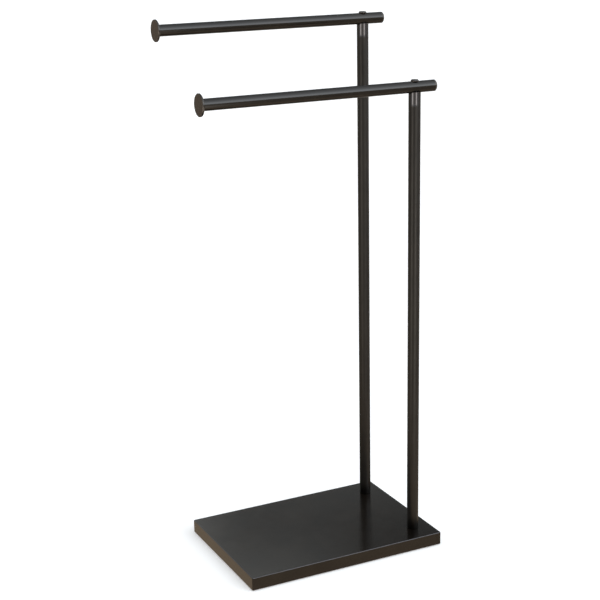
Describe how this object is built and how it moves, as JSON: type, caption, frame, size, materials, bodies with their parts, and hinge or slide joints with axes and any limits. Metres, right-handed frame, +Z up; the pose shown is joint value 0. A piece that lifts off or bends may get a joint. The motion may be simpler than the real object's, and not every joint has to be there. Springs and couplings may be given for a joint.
{
  "type": "freestanding towel stand",
  "caption": "Freestanding towel stand with a weighted rectangular base, round posts and plain round arms at stepped heights, each ending in a round stop disc.",
  "frame": {"origin": "on the floor at the bottom centre of the bounding box: under the middle of the arms' length and midway between the arms", "axes": "+X along the arms to their plain ends over the posts, +Y from the low front arm to the high rear arm, +Z up"},
  "size_m": [0.3944, 0.243, 0.8715],
  "materials": {
    "bronze_finish": "satin",
    "ballast_steel": "matte",
    "plug_steel": "satin",
    "zinc_steel": "satin",
    "foot_rubber": "matte"
  },
  "bodies": {
    "root": {"base_cover": "bronze_finish", "ballast_plate": "ballast_steel", "base_bottom_plate": "bronze_finish", "plate_spacers": "zinc_steel", "plate_screws": "zinc_steel", "front_left_foot": "foot_rubber", "front_right_foot": "foot_rubber", "rear_left_foot": "foot_rubber", "rear_right_foot": "foot_rubber", "front_post": "bronze_finish", "front_foot_plug": "plug_steel", "front_saddle_plug": "plug_steel", "front_post_bolt": "zinc_steel", "front_post_washer": "zinc_steel", "front_lock_washer": "zinc_steel", "front_bar": "bronze_finish", "front_bar_end_disc": "bronze_finish", "front_bar_end_plug": "bronze_finish", "front_bar_screw": "bronze_finish", "rear_post": "bronze_finish", "rear_foot_plug": "plug_steel", "rear_saddle_plug": "plug_steel", "rear_post_bolt": "zinc_steel", "rear_post_washer": "zinc_steel", "rear_lock_washer": "zinc_steel", "rear_bar": "bronze_finish", "rear_bar_end_disc": "bronze_finish", "rear_bar_end_plug": "bronze_finish", "rear_bar_screw": "bronze_finish"}
  },
  "joints": []
}
